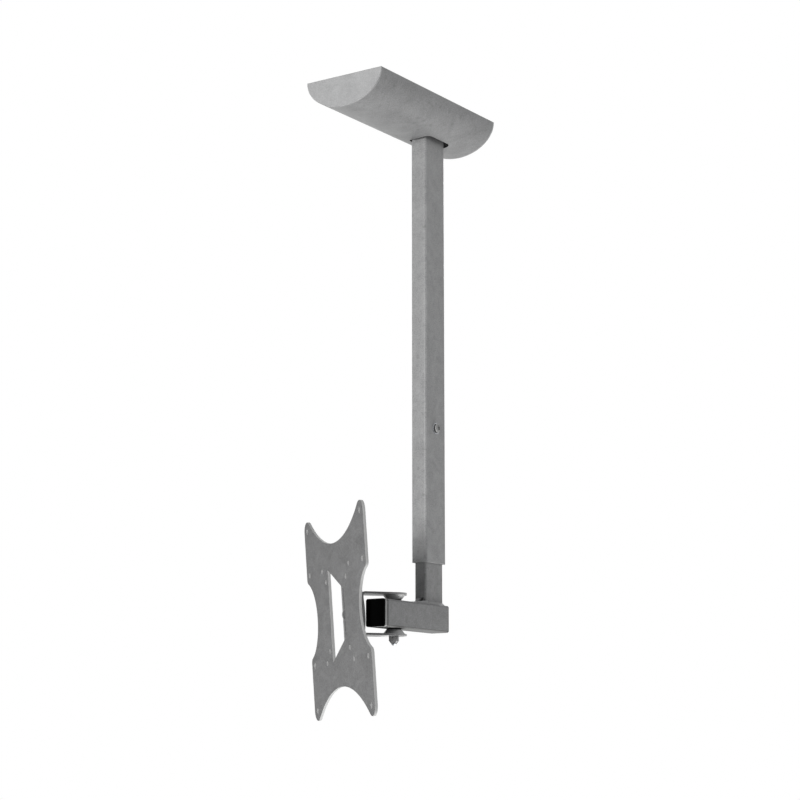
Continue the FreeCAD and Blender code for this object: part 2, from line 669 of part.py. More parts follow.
def make_friction_pad(sign):
    """Plastic washer between the arm and a dimple's floor."""
    near = ARM_Z / 2 + PAD_REST_GAP
    pad = ring(PAD_R, SWIVEL_BOLT_R, near, near + PAD_THICK)
    if sign < 0:
        pad = mirrored(pad, Z_AXIS)
    return fork_pose(pad)


def make_tilt_sleeve():
    """Sleeve between the fork's ears round the tilt bolt."""
    inner = FORK_HALF_WIDE - EAR_SHEET
    tube = cylinder(TILT_SLEEVE_R, V(-inner, -TILT_AXIS, 0), V(inner, -TILT_AXIS, 0))
    bore = cylinder(TILT_BOLT_R + TILT_RUNNING_GAP, V(-inner, -TILT_AXIS, 0), V(inner, -TILT_AXIS, 0))
    return fork_pose(tube.cut(bore))


def make_tilt_washers():
    """Plastic washers between the ears and the bracket's cheeks."""
    washers = []
    for side in (-1, 1):
        start = V(side * FORK_HALF_WIDE, -TILT_AXIS, 0)
        end = V(side * (FORK_HALF_WIDE + TILT_WASHER_THICK), -TILT_AXIS, 0)
        disc = cylinder(TILT_WASHER_R, start, end)
        washers.append(disc.cut(cylinder(TILT_BOLT_R + TILT_RUNNING_GAP, start, end)))
    return fork_pose(Part.makeCompound(washers))


def plate_outline():
    """Wire of the butterfly outline in the plane y = 0, built from one quarter's key points."""
    arc_centre = FACE_ARC_LOW + FACE_ARC_R
    horn_u = FACE_HALF - HORN_R
    horn_v = arc_centre - math.sqrt((FACE_ARC_R + HORN_R) ** 2 - horn_u ** 2)
    scale = FACE_ARC_R / (FACE_ARC_R + HORN_R)
    touch_u = horn_u * scale
    touch_v = arc_centre - (arc_centre - horn_v) * scale
    start = math.atan2(touch_v - horn_v, touch_u - horn_u)
    mid_u = horn_u + HORN_R * math.cos(start / 2)
    mid_v = horn_v + HORN_R * math.sin(start / 2)
    edges = []
    for side in (1, -1):
        edges.append(Part.Arc(V(-touch_u, 0, side * touch_v), V(0, 0, side * FACE_ARC_LOW),
                              V(touch_u, 0, side * touch_v)).toShape())
        edges.append(Part.Arc(V(side * FACE_HALF, 0, WAIST_START), V(side * WAIST_HALF, 0, 0),
                              V(side * FACE_HALF, 0, -WAIST_START)).toShape())
        for other in (1, -1):
            edges.append(Part.Arc(V(side * touch_u, 0, other * touch_v), V(side * mid_u, 0, other * mid_v),
                                  V(side * FACE_HALF, 0, other * horn_v)).toShape())
            edges.append(Part.makeLine(V(side * FACE_HALF, 0, other * horn_v),
                                       V(side * FACE_HALF, 0, other * WAIST_START)))
    return Part.Wire(Part.__sortEdges__(edges))


def make_mounting_plate():
    """Screen plate: butterfly outline, trapezium window and four hole groups."""
    back = -(FACE_FRONT - FACE_THICK)
    plate = Part.Face(plate_outline()).extrude(V(0, FACE_THICK, 0))
    shoulders = [e for e in plate.Edges if e.BoundBox.YLength > FACE_THICK / 2 and e.BoundBox.ZLength < NEAR
                 and abs(abs(e.BoundBox.XMin) - FACE_HALF) < NEAR
                 and abs(abs(e.BoundBox.ZMin) - WAIST_START) < NEAR]
    plate = plate.makeFillet(SHOULDER_R, shoulders)
    corners = [V(-WINDOW_HALF, -1, WINDOW_TALL), V(WINDOW_HALF, -1, WINDOW_SHORT),
               V(WINDOW_HALF, -1, -WINDOW_SHORT), V(-WINDOW_HALF, -1, -WINDOW_TALL)]
    window = Part.Face(Part.makePolygon(corners + [corners[0]])).extrude(V(0, FACE_THICK + 2, 0))
    window = window.makeFillet(WINDOW_CORNER, [e for e in window.Edges if e.BoundBox.YLength > FACE_THICK])
    plate = plate.cut(window)
    for group, radius in ((VESA_LARGE, VESA_LARGE_R), (VESA_SMALL, VESA_SMALL_R)):
        for u, v in group:
            for side_u in (-1, 1):
                for side_v in (-1, 1):
                    hole = cylinder(radius, V(side_u * u, -1, side_v * v),
                                    V(side_u * u, FACE_THICK + 1, side_v * v))
                    plate = plate.cut(hole)
    front_rim = [e for e in plate.Edges if e.BoundBox.YMax < NEAR and is_outline(e)]
    plate = plate.makeFillet(FACE_EDGE, front_rim)
    plate.translate(V(0, back - FACE_THICK, 0))
    return head_pose(plate)


def is_outline(edge):
    """True for an edge of the plate's outer outline, which lies outside window and holes."""
    bounds = edge.BoundBox
    size = max(bounds.XLength, bounds.ZLength)
    middle = edge.valueAt((edge.FirstParameter + edge.LastParameter) / 2)
    outside = abs(middle.x) > WAIST_HALF - NEAR or abs(middle.z) > FACE_ARC_LOW - NEAR
    return outside and abs(size - 2 * VESA_LARGE_R) > NEAR


def cheek_wire():
    """Outline of a cheek: straight and stepped towards the plate, one long arc towards the fork."""
    front = [(FACE_THICK, PAD_FAR), (FACE_THICK, PAD_NEAR), (CHEEK_WINDOW, CHEEK_WINDOW_HALF)]
    points = [(FACE_THICK + CHEEK_SHEET + CHEEK_CORNER, PAD_FAR)] + front
    points += [(depth, -v) for depth, v in reversed(points)]
    line = Part.makePolygon([V(CHEEK_IN, depth - FACE_FRONT, v) for depth, v in points])
    arc = Part.Arc(line.Vertexes[0].Point, V(CHEEK_IN, -CHEEK_REAR, 0), line.Vertexes[-1].Point).toShape()
    return Part.Wire(line.Edges + [arc])


def make_tilt_bracket():
    """Bracket of one folded sheet: two pads on the plate's back and two arched cheeks."""
    cheek = Part.Face(cheek_wire()).extrude(V(CHEEK_SHEET, 0, 0))
    corners = [e for e in cheek.Edges if e.BoundBox.XLength > CHEEK_SHEET / 2
               and e.BoundBox.YMin + FACE_FRONT > CHEEK_WINDOW - NEAR]
    cheek = cheek.makeFillet(CHEEK_ROUND, corners)
    bracket = cheek.fuse(mirrored(cheek, X_AXIS))
    wide = CHEEK_IN + CHEEK_SHEET
    back = -FACE_FRONT + FACE_THICK
    for side in (-1, 1):
        low, high = sorted((side * PAD_NEAR, side * PAD_FAR))
        bracket = bracket.fuse(box(-wide, wide, back, back + CHEEK_SHEET, low, high))
    bracket = bracket.removeSplitter()
    bends = [e for e in bracket.Edges if e.BoundBox.ZLength > 5 and e.BoundBox.XLength < NEAR
             and e.BoundBox.YLength < NEAR and abs(abs(e.BoundBox.XMin) - CHEEK_IN) < NEAR
             and abs(e.BoundBox.YMin - back - CHEEK_SHEET) < NEAR]
    bracket = bracket.makeFillet(CHEEK_SHEET * PAD_BEND_SHARE, bends)
    bore = cylinder(TILT_BOLT_R + TILT_RUNNING_GAP, V(-2 * wide, -TILT_AXIS, 0), V(2 * wide, -TILT_AXIS, 0))
    sink = Part.makeCone(TILT_BOLT_R, TILT_HEAD_R, TILT_HEAD_R - TILT_BOLT_R,
                         V(wide - TILT_HEAD_R + TILT_BOLT_R, -TILT_AXIS, 0), X_AXIS)
    return head_pose(bracket.cut(bore).cut(sink))


def make_bracket_welds():
    """Weld beads along the outer sides of the bracket's pads."""
    wide = CHEEK_IN + CHEEK_SHEET
    back = -FACE_FRONT + FACE_THICK
    beads = []
    for side_u in (-1, 1):
        for side_v in (-1, 1):
            low, high = sorted((side_v * (PAD_NEAR + BRACKET_WELD_END),
                                side_v * (PAD_FAR - BRACKET_WELD_END)))
            corner = V(side_u * wide, back, low)
            triangle = Part.makePolygon([corner, corner + V(side_u * BRACKET_WELD_LEG, 0, 0),
                                         corner + V(0, BRACKET_WELD_LEG, 0), corner])
            beads.append(Part.Face(triangle).extrude(V(0, 0, high - low)))
    return head_pose(Part.makeCompound(beads))


def make_tilt_bolt():
    """Countersunk bolt through cheeks and ears."""
    wide = CHEEK_IN + CHEEK_SHEET
    depth = TILT_HEAD_R - TILT_BOLT_R
    head = Part.makeCone(TILT_BOLT_R, TILT_HEAD_R, depth, V(wide - depth, -TILT_AXIS, 0), X_AXIS)
    shank = cylinder(TILT_BOLT_R, V(-wide - TILT_NUT_HIGH - TILT_TIP, -TILT_AXIS, 0), V(wide, -TILT_AXIS, 0))
    socket = hexagon(TILT_SOCKET_AF, V(0, 0, 0), depth)
    socket.rotate(V(0, 0, 0), Y_AXIS, 90)
    socket.translate(V(wide - depth * TILT_SOCKET_SHARE, -TILT_AXIS, 0))
    return head_pose(head.fuse(shank).cut(socket).removeSplitter())


def make_tilt_nut():
    """Thin hexagon nut against the left cheek."""
    wide = CHEEK_IN + CHEEK_SHEET
    nut = hexagon(TILT_NUT_AF, V(0, 0, 0), TILT_NUT_HIGH)
    nut = nut.cut(cylinder(TILT_BOLT_R, V(0, 0, -1), V(0, 0, TILT_NUT_HIGH + 1)))
    nut.rotate(V(0, 0, 0), Y_AXIS, -90)
    nut.translate(V(-wide, -TILT_AXIS, 0))
    return head_pose(nut)


def build():
    """Make every piece and write one file for each."""
    front_inside = COVER_FRONT + COVER_END_THICK
    rear_inside = COVER_REAR - COVER_END_THICK
    SHAPES.update({
        "ceiling_plate": make_ceiling_plate(),
        "column_tube": make_column_tube(),
        "column_weld": make_column_weld(),
        "lock_bush": make_lock_bush(),
        "lock_screw": make_lock_screw(),
        "cover_clip_front": make_clip(-1, PLATE_FRONT, front_inside),
        "cover_clip_rear": make_clip(1, PLATE_REAR, rear_inside),
        "cover_clip_rivets": make_clip_rivets(),
        "cover_shell": make_cover_shell(),
        "cover_end_front": make_cover_end(COVER_FRONT, front_inside),
        "cover_end_rear": make_cover_end(rear_inside, COVER_REAR),
        "inner_tube": make_inner_tube(),
        "inner_guide": make_inner_guide(),
        "foot_weld": make_foot_weld(),
        "arm_tube": make_arm_tube(),
        "arm_plug_front": make_arm_plug(-1, ARM_FRONT),
        "arm_plug_rear": make_arm_plug(1, ARM_REAR),
        "swivel_sleeve": make_swivel_sleeve(),
        "swivel_fork": make_fork(),
        "swivel_bolt": make_swivel_bolt(),
        "swivel_washer": make_swivel_washer(),
        "swivel_spring_washer": make_spring_washer(),
        "swivel_nut": make_swivel_nut(),
        "friction_pad_top": make_friction_pad(1),
        "friction_pad_bottom": make_friction_pad(-1),
        "tilt_sleeve": make_tilt_sleeve(),
        "tilt_washers": make_tilt_washers(),
        "mounting_plate": make_mounting_plate(),
        "tilt_bracket": make_tilt_bracket(),
        "bracket_welds": make_bracket_welds(),
        "tilt_bolt": make_tilt_bolt(),
        "tilt_nut": make_tilt_nut(),
    })
    os.makedirs("parts", exist_ok=True)
    for name, shape in SHAPES.items():
        if not shape.isValid():
            print("not valid:", name)
        shape.exportStep("parts/" + name + ".step")
        bounds = shape.BoundBox
        print(name, len(shape.Solids), [round(v, 1) for v in (bounds.XMin, bounds.XMax, bounds.YMin,
                                                              bounds.YMax, bounds.ZMin, bounds.ZMax)])


build()
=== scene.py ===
import logging
import math
from collections.abc import Iterable, Sequence
from dataclasses import dataclass, field
from enum import Enum
from typing import Any

import bmesh
import bpy
from mathutils import Matrix, Vector

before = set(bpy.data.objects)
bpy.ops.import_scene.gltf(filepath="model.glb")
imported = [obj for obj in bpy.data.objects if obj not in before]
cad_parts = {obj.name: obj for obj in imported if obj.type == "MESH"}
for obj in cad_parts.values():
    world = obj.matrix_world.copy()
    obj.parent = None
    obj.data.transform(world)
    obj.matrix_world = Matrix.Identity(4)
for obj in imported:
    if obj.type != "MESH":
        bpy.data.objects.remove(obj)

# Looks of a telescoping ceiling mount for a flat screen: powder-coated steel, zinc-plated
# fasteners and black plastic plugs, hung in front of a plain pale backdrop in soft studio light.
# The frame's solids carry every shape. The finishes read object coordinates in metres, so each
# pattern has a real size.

Tree = bpy.types.NodeTree
Node = bpy.types.Node
Socket = bpy.types.NodeSocket
Point = tuple[float, float, float]
Span = tuple[float, float]

LOG = logging.getLogger("mount")

# A millimetre in metres, the axis of the swivel bolt, and where the bead at the tube's foot breaks off, a gap
# darkened by a spot of painted shade.
MM = 0.001
SWIVEL_Y = -68.5 * MM
BEAD_BREAK = (3.2 * MM, -18.5 * MM, -565.5 * MM)

# The camera's picture in pixels a side, and the nearest and farthest that it sees in metres.
IMAGE_SIDE = 800
CLIP_NEAR, CLIP_FAR = 0.05, 100.0

# The sRGB curve is straight up to its knee and a power above it.
SRGB_KNEE, SRGB_SLOPE, SRGB_OFFSET, SRGB_POWER = 0.04045, 12.92, 0.055, 2.4

# Numbered sockets of the Mix node: its factor, then the pair and the result for colours and for values.
FACTOR = 0
COLOUR_A, COLOUR_B, COLOUR_OUT = 6, 7, 2
VALUE_A, VALUE_B, VALUE_OUT = 2, 3, 0

# Texture facts: the values that a noise mostly keeps within, the units after which a wave of
# scale 1 repeats (2 pi / 20), and the rays that round an edge off.
NOISE_LOW, NOISE_HIGH = 0.3, 0.7
WAVE_REPEAT = 0.314
BEVEL_SAMPLES = 6

# Name of the node that gives a material its object coordinates and normals.
COORDINATES = "coordinates"


def linear(hex_colour: str) -> tuple[float, float, float, float]:
    """Turn an sRGB hex colour into a linear one.

    Args:
        hex_colour: colour as "#rrggbb".

    Returns:
        Linear red, green, blue and an alpha of 1.
    """
    channels = [int(hex_colour[i:i + 2], 16) / 255 for i in (1, 3, 5)]
    red, green, blue = (
        c / SRGB_SLOPE if c <= SRGB_KNEE else ((c + SRGB_OFFSET) / (1 + SRGB_OFFSET)) ** SRGB_POWER
        for c in channels)
    return (red, green, blue, 1.0)


def per_metre(feature: float) -> float:
    """Texture scale that gives features of a real size, from that size in metres."""
    return 1.0 / feature


def add(tree: Tree, kind: str, settings: dict[str, Any] | None = None,
        inputs: dict[Any, Any] | Sequence[Any] = ()) -> Node:
    """Add one shader node with its settings, values and links.

    Args:
        tree: node tree that takes the node.
        kind: Blender's name of the node's type.
        settings: attributes of the node.
        inputs: input name or number to a value or to the socket that feeds it, or these in order.

    Returns:
        The new node.
    """
    node = tree.nodes.new(kind)
    for name, value in (settings or {}).items():
        setattr(node, name, value)
    for key, value in inputs.items() if isinstance(inputs, dict) else enumerate(inputs):
        if isinstance(value, Socket):
            tree.links.new(value, node.inputs[key])
        else:
            node.inputs[key].default_value = value
    return node


def broad_side(name: str) -> Point:
    """Direction that the largest face of a node looks in.

    Args:
        name: node of the frame.

    Returns:
        Unit normal in the node's own coordinates.
    """
    widest = max(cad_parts[name].data.polygons, key=lambda face: face.area)
    return tuple(widest.normal)


class Backdrop(Enum):
    """Plain colours of the surroundings."""

    FLOOR = "#fbfbfb"
    SKY_SEEN = "#ffffff"
    SKY_LIGHT = "#e9ebee"


class Axis(Enum):
    """Axes of the object, as the node that takes a point apart names them."""

    ACROSS = "X"
    ALONG = "Y"
    UP = "Z"


@dataclass(frozen=True)
class Band:
    """Plain band of another tone round a piece.

    Attributes:
        axis: axis that the band is measured along.
        start: where it starts, in metres.
        end: where it ends, in metres.
        tone: its hex colour.
    """

    axis: Axis
    start: float
    end: float
    tone: str


@dataclass(frozen=True)
class Finish:
    """A named surface finish that builds one procedural material.

    The IOR stays at 1.5: it is typical of powder coat and polyethylene, and metal keeps it too.

    Attributes:
        name: name of the real material.
        rough: roughness at the low and at the high values of the pattern.
        relief: height of the relief in metres.
        bump: share of the relief that shows.
        edge_round: radius of the edges in metres.
        metallic: 1 for bare metal and 0 for a coat or a plastic.
        specular: level of the mirrored light, which is 0.5 for a plain surface.
    """

    name: str
    rough: Span = (0.40, 0.52)
    relief: float = 0.10 * MM
    bump: float = 0.4
    edge_round: float = 0.5 * MM
    metallic: float = 0.0
    specular: float = 0.5

    def build(self) -> bpy.types.Material:
        """Make the material, or give back the one that is there.

        Returns:
            The finished material.
        """
        found = bpy.data.materials.get(self.name)
        if found:
            return found
        material = bpy.data.materials.new(self.name)
        material.use_nodes = True
        tree = material.node_tree
        tree.nodes.clear()
        shader = add(tree, "ShaderNodeBsdfPrincipled", inputs={
            "Metallic": self.metallic, "Specular IOR Level": self.specular})
        add(tree, "ShaderNodeOutputMaterial", inputs={"Surface": shader.outputs["BSDF"]})
        place = add(tree, "ShaderNodeTexCoord", {"name": COORDINATES}).outputs["Object"]
        self.shade(tree, shader, place)
        return material

    def shade(self, tree: Tree, shader: Node, place: Socket) -> None:
        """Connect colour, roughness and relief to the shader.

        Args:
            tree: the material's node tree.
            shader: its Principled shader.
            place: socket with the object coordinates in metres.
        """
        pattern = self.pattern(tree, place)
        soft = add(tree, "ShaderNodeBevel", {"samples": BEVEL_SAMPLES}, {
            "Radius": self.edge_round}).outputs["Normal"]
        colour = self.colour(tree, place, pattern, soft)
        rough = add(tree, "ShaderNodeMapRange", inputs={
            "Value": pattern, "From Min": NOISE_LOW, "From Max": NOISE_HIGH,
            "To Min": self.rough[0], "To Max": self.rough[1]}).outputs["Result"]
        normal = add(tree, "ShaderNodeBump", inputs={
            "Strength": self.bump, "Distance": self.relief,
            "Height": self.height(tree, place, pattern), "Normal": soft}).outputs["Normal"]
        tree.links.new(colour, shader.inputs["Base Color"])
        tree.links.new(rough, shader.inputs["Roughness"])
        tree.links.new(normal, shader.inputs["Normal"])

    def pattern(self, tree: Tree, place: Socket) -> Socket:
        """Main pattern of the surface, which sets its roughness.

        Args:
            tree: the material's node tree.
            place: socket with the object coordinates.

        Returns:
            Socket with the pattern, 0 to 1.
        """
        raise NotImplementedError

    def colour(self, tree: Tree, place: Socket, pattern: Socket, soft: Socket) -> Socket:
        """Colour of the surface.

        Args:
            tree: the material's node tree.
            place: socket with the object coordinates.
            pattern: socket with the main pattern.
            soft: socket with the normal that is rounded at the edges.

        Returns:
            Socket with the colour.
        """
        raise NotImplementedError

    def height(self, tree: Tree, place: Socket, pattern: Socket) -> Socket:
        """Relief of the surface.

        Args:
            tree: the material's node tree.
            place: socket with the object coordinates.
            pattern: socket with the main pattern.

        Returns:
            Socket with the height, 0 to 1.
        """
        raise NotImplementedError


@dataclass(frozen=True)
class HammertoneCoat(Finish):
    """Hammertone powder-coated steel: dimpled, faintly clouded grey with soft dark flecks and pale edges,
    partly thin coat and partly painted highlight.

    Attributes:
        dark: hex colour of the dark clouds.
        light: hex colour of the light clouds.
        edge: hex colour of the edges, where the coat is thin and a highlight is painted.
        fleck_colour: hex colour of the flecks.
        grain: width of the fine grain in metres.
        cell: width of a dimple in metres.
        cloud: width of a cloud in metres.
        fleck: spacing of the flecks in metres.
        grain_share: share of the grain in the clouds.
        cloud_range: values between which the clouds go from dark to light.
        fleck_share: strength of the flecks.
        fleck_pick: share of the cells that bear a fleck.
        fleck_reach: outer and inner radius of a fleck, in spacings.
        stir: how far the flecks are pulled out of round, in spacings.
        stir_waves: waves of that pull to a spacing.
        edge_turn: cosines of the rounding at which an edge starts to pale and is palest.
        edge_share: strength of the pale edges.
        grain_height: share of the grain in the relief.
    """

    bump: float = 0.5
    edge_round: float = 0.7 * MM
    dark: str = "#7a7a7a"
    light: str = "#959594"
    edge: str = "#b4b4b4"
    fleck_colour: str = "#626261"
    # The real grain is about 0.4 mm wide. It is drawn as wide as a pixel of the picture, to show.
    grain: float = 1.1 * MM
    cell: float = 2.6 * MM
    cloud: float = 14 * MM
    fleck: float = 8 * MM
    grain_share: float = 0.6
    cloud_range: Span = (0.36, 0.64)
    fleck_share: float = 0.45
    fleck_pick: float = 0.33
    fleck_reach: Span = (0.36, 0.08)
    stir: float = 0.5
    stir_waves: float = 3.0
    edge_turn: Span = (0.995, 0.86)
    edge_share: float = 0.55
    grain_height: float = 0.35

    def pattern(self, tree: Tree, place: Socket) -> Socket:
        """Fine grain of the baked powder.

        Args:
            tree: the material's node tree.
            place: socket with the object coordinates.

        Returns:
            Socket with the grain, 0 to 1.
        """
        return add(tree, "ShaderNodeTexNoise", inputs={
            "Vector": place, "Scale": per_metre(self.grain), "Detail": 3.0}).outputs["Fac"]

    def colour(self, tree: Tree, place: Socket, pattern: Socket, soft: Socket) -> Socket:
        """Clouded and flecked coat that is paler at the edges.

        Args:
            tree: the material's node tree.
            place: socket with the object coordinates.
            pattern: socket with the fine grain.
            soft: socket with the normal that is rounded at the edges.

        Returns:
            Socket with the colour.
        """
        body = self.flecked(tree, place, self.clouded(tree, place, pattern))
        return add(tree, "ShaderNodeMix", {"data_type": "RGBA"}, {
            FACTOR: self.thin_and_highlit_edges(tree, soft), COLOUR_A: body,
            COLOUR_B: linear(self.edge)}).outputs[COLOUR_OUT]

    def clouded(self, tree: Tree, place: Socket, grain: Socket) -> Socket:
        """Two greys that drift into each other in clouds, broken up by the fine grain.

        Args:
            tree: the material's node tree.
            place: socket with the object coordinates.
            grain: socket with the fine grain.

        Returns:
            Socket with the clouded colour.
        """
        cloud = add(tree, "ShaderNodeTexNoise", inputs={
            "Vector": place, "Scale": per_metre(self.cloud), "Detail": 4.0, "Roughness": 0.72,
            "Distortion": 0.7}).outputs["Fac"]
        blend = add(tree, "ShaderNodeMix", {"data_type": "FLOAT"}, {
            FACTOR: self.grain_share, VALUE_A: cloud, VALUE_B: grain}).outputs[VALUE_OUT]
        low, high = self.cloud_range
        share = add(tree, "ShaderNodeMapRange", inputs={
            "Value": blend, "From Min": low, "From Max": high}).outputs["Result"]
        return add(tree, "ShaderNodeMix", {"data_type": "RGBA"}, {
            FACTOR: share, COLOUR_A: linear(self.dark),
            COLOUR_B: linear(self.light)}).outputs[COLOUR_OUT]

    def flecked(self, tree: Tree, place: Socket, body: Socket) -> Socket:
        """Sparse soft dark flecks over the coat: a ragged spot at the middle of one cell in three.

        Args:
            tree: the material's node tree.
            place: socket with the object coordinates.
            body: socket with the colour under the flecks.

        Returns:
            Socket with the flecked colour.
        """
        stir = add(tree, "ShaderNodeTexNoise", inputs={
            "Vector": place, "Scale": per_metre(self.fleck / self.stir_waves), "Detail": 2.0}).outputs["Color"]
        ragged = add(tree, "ShaderNodeVectorMath", {"operation": "MULTIPLY_ADD"}, (
            stir, (self.stir * self.fleck,) * 3, place)).outputs["Vector"]
        spots = add(tree, "ShaderNodeTexVoronoi", inputs={
            "Vector": ragged, "Scale": per_metre(self.fleck)})
        outer, inner = self.fleck_reach
        near = add(tree, "ShaderNodeMapRange", inputs={
            "Value": spots.outputs["Distance"], "From Min": outer, "From Max": inner,
            "To Max": self.fleck_share}).outputs["Result"]
        pick = add(tree, "ShaderNodeSeparateColor", inputs={
            "Color": spots.outputs["Color"]}).outputs["Red"]
        chosen = add(tree, "ShaderNodeMath", {"operation": "LESS_THAN"}, (
            pick, self.fleck_pick)).outputs["Value"]
        spot = add(tree, "ShaderNodeMath", {"operation": "MULTIPLY"}, (near, chosen)).outputs["Value"]
        return add(tree, "ShaderNodeMix", {"data_type": "RGBA"}, {
            FACTOR: spot, COLOUR_A: body,
            COLOUR_B: linear(self.fleck_colour)}).outputs[COLOUR_OUT]

    def thin_and_highlit_edges(self, tree: Tree, soft: Socket) -> Socket:
        """Mask of the edges, where the coat is thin and a painted highlight makes it paler.

        Args:
            tree: the material's node tree.
            soft: socket with the normal that is rounded at the edges.

        Returns:
            Socket with the mask, 0 away from the edges.
        """
        true = add(tree, "ShaderNodeNewGeometry").outputs["Normal"]
        facing = add(tree, "ShaderNodeVectorMath", {"operation": "DOT_PRODUCT"}, (
            soft, true)).outputs["Value"]
        start, full = self.edge_turn
        return add(tree, "ShaderNodeMapRange", inputs={
            "Value": facing, "From Min": start, "From Max": full,
            "To Max": self.edge_share}).outputs["Result"]

    def height(self, tree: Tree, place: Socket, pattern: Socket) -> Socket:
        """Relief of the coat: shallow round dimples with a fine grain.

        Args:
            tree: the material's node tree.
            place: socket with the object coordinates.
            pattern: socket with the fine grain.

        Returns:
            Socket with the height, 0 to 1.
        """
        cells = add(tree, "ShaderNodeTexVoronoi", {"feature": "SMOOTH_F1"}, {
            "Vector": place, "Scale": per_metre(self.cell), "Smoothness": 0.7}).outputs["Distance"]
        return add(tree, "ShaderNodeMix", {"data_type": "FLOAT"}, {
            FACTOR: self.grain_height, VALUE_A: cells, VALUE_B: pattern}).outputs[VALUE_OUT]


@dataclass(frozen=True)
class BandedCoat(HammertoneCoat):
    """Powder coat with plain bands of another tone, such as a painted highlight on a lip or painted shade in a
    groove.

    Attributes:
        bands: the bands, of which a later one covers an earlier one.
    """

    bands: tuple[Band, ...] = ()

    def flecked(self, tree: Tree, place: Socket, body: Socket) -> Socket:
        """Flecked coat with the bands over it.

        Args:
            tree: the material's node tree.
            place: socket with the object coordinates.
            body: socket with the colour under the flecks.

        Returns:
            Socket with the banded colour.
        """
        colour = super().flecked(tree, place, body)
        apart = add(tree, "ShaderNodeSeparateXYZ", inputs={"Vector": place})
        for band in self.bands:
            middle, half = (band.start + band.end) / 2, (band.end - band.start) / 2
            inside = add(tree, "ShaderNodeMath", {"operation": "COMPARE"}, (
                apart.outputs[band.axis.value], middle, half)).outputs["Value"]
            colour = add(tree, "ShaderNodeMix", {"data_type": "RGBA"}, {
                FACTOR: inside, COLOUR_A: colour,
                COLOUR_B: linear(band.tone)}).outputs[COLOUR_OUT]
        return colour


@dataclass(frozen=True)
class SkinCoat(HammertoneCoat):
    """Powder coat of the curved cover, with painted shade that makes its inside dark.

    Attributes:
        inside: hex colour of the painted shade on the inside.
        outward: least turn away from the column that counts as the outside.
    """

    inside: str = "#141414"
    outward: float = 0.0001

    def flecked(self, tree: Tree, place: Socket, body: Socket) -> Socket:
        """Flecked coat outside and painted shade on the inside.

        Args:
            tree: the material's node tree.
            place: socket with the object coordinates.
            body: socket with the colour under the flecks.

        Returns:
            Socket with the colour of both sides.
        """
        outer = super().flecked(tree, place, body)
        normal = tree.nodes[COORDINATES].outputs["Normal"]
        across = add(tree, "ShaderNodeVectorMath", {"operation": "MULTIPLY"}, (
            place, (1.0, 0.0, 1.0))).outputs["Vector"]
        outward = add(tree, "ShaderNodeVectorMath", {"operation": "DOT_PRODUCT"}, (
            normal, across)).outputs["Value"]
        inner = add(tree, "ShaderNodeMath", {"operation": "LESS_THAN"}, (
            outward, self.outward)).outputs["Value"]
        return add(tree, "ShaderNodeMix", {"data_type": "RGBA"}, {
            FACTOR: inner, COLOUR_A: outer, COLOUR_B: linear(self.inside)}).outputs[COLOUR_OUT]


@dataclass(frozen=True)
class SpottedCoat(HammertoneCoat):
    """Powder coat with soft spots of another tone; by default one spot of painted shade, in the gap where a
    weld bead is broken off.

    Attributes:
        spots: centre of each spot in metres.
        reach: radius of the spots in metres.
        core: share of the radius that has the full tone.
        tone: hex colour of the spots.
    """

    spots: tuple[Point, ...] = (BEAD_BREAK,)
    reach: float = 4.6 * MM
    core: float = 0.6
    tone: str = "#1e1e1e"

    def flecked(self, tree: Tree, place: Socket, body: Socket) -> Socket:
        """Flecked coat with the spots over it.

        Args:
            tree: the material's node tree.
            place: socket with the object coordinates.
            body: socket with the colour under the flecks.

        Returns:
            Socket with the spotted colour.
        """
        colour = super().flecked(tree, place, body)
        for spot in self.spots:
            away = add(tree, "ShaderNodeVectorMath", {"operation": "DISTANCE"}, (
                place, spot)).outputs["Value"]
            near = add(tree, "ShaderNodeMapRange", inputs={
                "Value": away, "From Min": self.reach,
                "From Max": self.reach * self.core}).outputs["Result"]
            colour = add(tree, "ShaderNodeMix", {"data_type": "RGBA"}, {
                FACTOR: near, COLOUR_A: colour, COLOUR_B: linear(self.tone)}).outputs[COLOUR_OUT]
        return colour


@dataclass(frozen=True)
class WeldedCoat(SpottedCoat):
    """Powder coat over a weld bead, which shows the bead's ripples.

    Attributes:
        ripple: spacing of the ripples in metres.
    """

    relief: float = 0.45 * MM
    grain_height: float = 0.25
    # Real ripples lie about 1.5 mm apart. They are drawn two pixels of the picture apart, to show.
    ripple: float = 2.4 * MM

    def height(self, tree: Tree, place: Socket, pattern: Socket) -> Socket:
        """Relief of the bead: round ripples with a fine grain.

        Args:
            tree: the material's node tree.
            place: socket with the object coordinates.
            pattern: socket with the fine grain.

        Returns:
            Socket with the height, 0 to 1.
        """
        beads = add(tree, "ShaderNodeTexVoronoi", {"feature": "SMOOTH_F1"}, {
            "Vector": place, "Scale": per_metre(self.ripple), "Smoothness": 0.4}).outputs["Distance"]
        return add(tree, "ShaderNodeMix", {"data_type": "FLOAT"}, {
            FACTOR: self.grain_height, VALUE_A: beads, VALUE_B: pattern}).outputs[VALUE_OUT]


